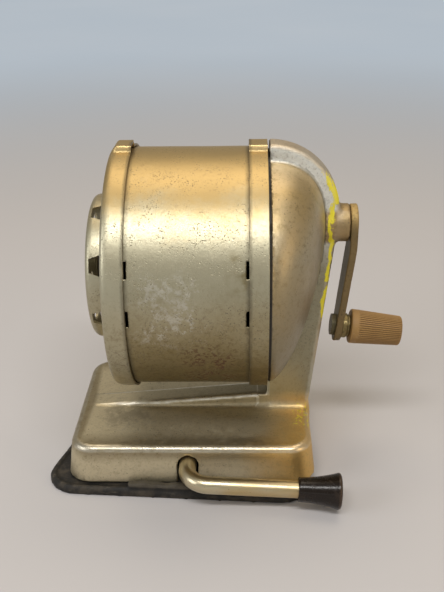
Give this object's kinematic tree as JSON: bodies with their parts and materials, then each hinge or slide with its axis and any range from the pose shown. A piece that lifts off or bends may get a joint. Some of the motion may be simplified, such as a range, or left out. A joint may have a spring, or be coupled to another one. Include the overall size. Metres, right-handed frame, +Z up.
{
  "type": "crank pencil sharpener",
  "caption": "Hand-cranked pencil sharpener: round shavings drum with a pencil size dial, twin planetary cutters, side crank with knob, and a suction base worked by a bent lever.",
  "frame": {"origin": "on the underside of the suction pad, below the middle plane of the drum and the lever's shaft", "axes": "+X along the drum towards the crank, +Y away from the lever side, +Z up"},
  "size_m": [0.1377, 0.0986, 0.1275],
  "materials": {
    "rubber": "worn matt black rubber",
    "lacquered_casting": "champagne metallic lacquer on die casting",
    "lacquered_sheet": "champagne metallic lacquer on pressed sheet",
    "dial_sheet": "champagne metallic lacquer on pressed sheet",
    "plain_steel": "plain steel",
    "cut_steel": "machined and hardened steel",
    "carrier_casting": "plain die casting",
    "bush_brass": "plain brass",
    "worn_steel": "worn plated steel with rust at the edges",
    "knob_plastic": "fluted tan plastic",
    "bright_rod": "bright nickel plate",
    "grip_plastic": "dark brown gloss plastic"
  },
  "bodies": {
    "frame": {"frame_casting": "lacquered_casting", "suction_pad": "rubber", "ring_gear": "cut_steel", "gear_screws": "plain_steel", "shaft_bush": "bush_brass", "lever_bracket": "plain_steel", "bracket_screws": "plain_steel"},
    "receptacle": {"receptacle_drum": "lacquered_sheet", "front_cap": "lacquered_sheet", "rear_ring": "lacquered_sheet", "dial_rivet": "plain_steel", "dial_spring": "plain_steel", "dial_spacer": "plain_steel"},
    "dial": {"size_dial": "dial_sheet"},
    "head": {"cutter_carrier": "carrier_casting", "cutter_axle_a": "plain_steel", "cutter_axle_b": "plain_steel", "crank_shaft": "plain_steel", "thrust_washer": "plain_steel", "crank_arm": "worn_steel", "crank_screw": "plain_steel", "knob_pin": "plain_steel", "knob_ferrule": "plain_steel"},
    "knob": {"crank_knob": "knob_plastic"},
    "cutter_roll_a": {"cutter_a": "cut_steel", "pinion_a": "cut_steel"},
    "cutter_roll_b": {"cutter_b": "cut_steel", "pinion_b": "cut_steel"},
    "lever": {"lever_rod": "bright_rod", "lever_grip": "grip_plastic", "lever_cam": "plain_steel"},
    "puller": {"pull_plate": "plain_steel", "pull_link": "plain_steel"}
  },
  "joints": [
    {"name": "receptacle_slide", "type": "slide", "parent": "frame", "child": "receptacle", "axis": [-1, 0, 0], "range_m": [0, 0.06]},
    {"name": "dial_turn", "type": "hinge", "parent": "receptacle", "child": "dial", "pos_m": [-0.03, 0, 0.0795], "axis": [-1, 0, 0], "continuous": true},
    {"name": "crank_turn", "type": "hinge", "parent": "frame", "child": "head", "pos_m": [0.05, 0, 0.0965], "axis": [1, 0, 0], "continuous": true},
    {"name": "knob_spin", "type": "hinge", "parent": "head", "child": "knob", "pos_m": [0.05848, 0, 0.0535], "axis": [0.9936, 0, -0.1132], "continuous": true},
    {"name": "cutter_spin_a", "type": "hinge", "parent": "head", "child": "cutter_roll_a", "pos_m": [0.07618, 0, 0.0965], "axis": [0.9799, 0, -0.1994], "continuous": true},
    {"name": "cutter_spin_b", "type": "hinge", "parent": "head", "child": "cutter_roll_b", "pos_m": [0.07618, 0, 0.0965], "axis": [0.9799, 0, 0.1994], "continuous": true},
    {"name": "lever_turn", "type": "hinge", "parent": "frame", "child": "lever", "pos_m": [0, -0.03, 0.011], "axis": [0, -1, 0], "range_deg": [0, 50]},
    {"name": "pull_lift", "type": "slide", "parent": "frame", "child": "puller", "axis": [0, 0, 1], "range_m": [0, 0.00203]}
  ],
  "couplings": [
    {"joint": "cutter_spin_a", "follows": "crank_turn", "ratio": -2.1429},
    {"joint": "cutter_spin_b", "follows": "crank_turn", "ratio": -2.1429},
    {"joint": "pull_lift", "follows": "lever_turn", "m_per_rad": 0.0023246}
  ]
}
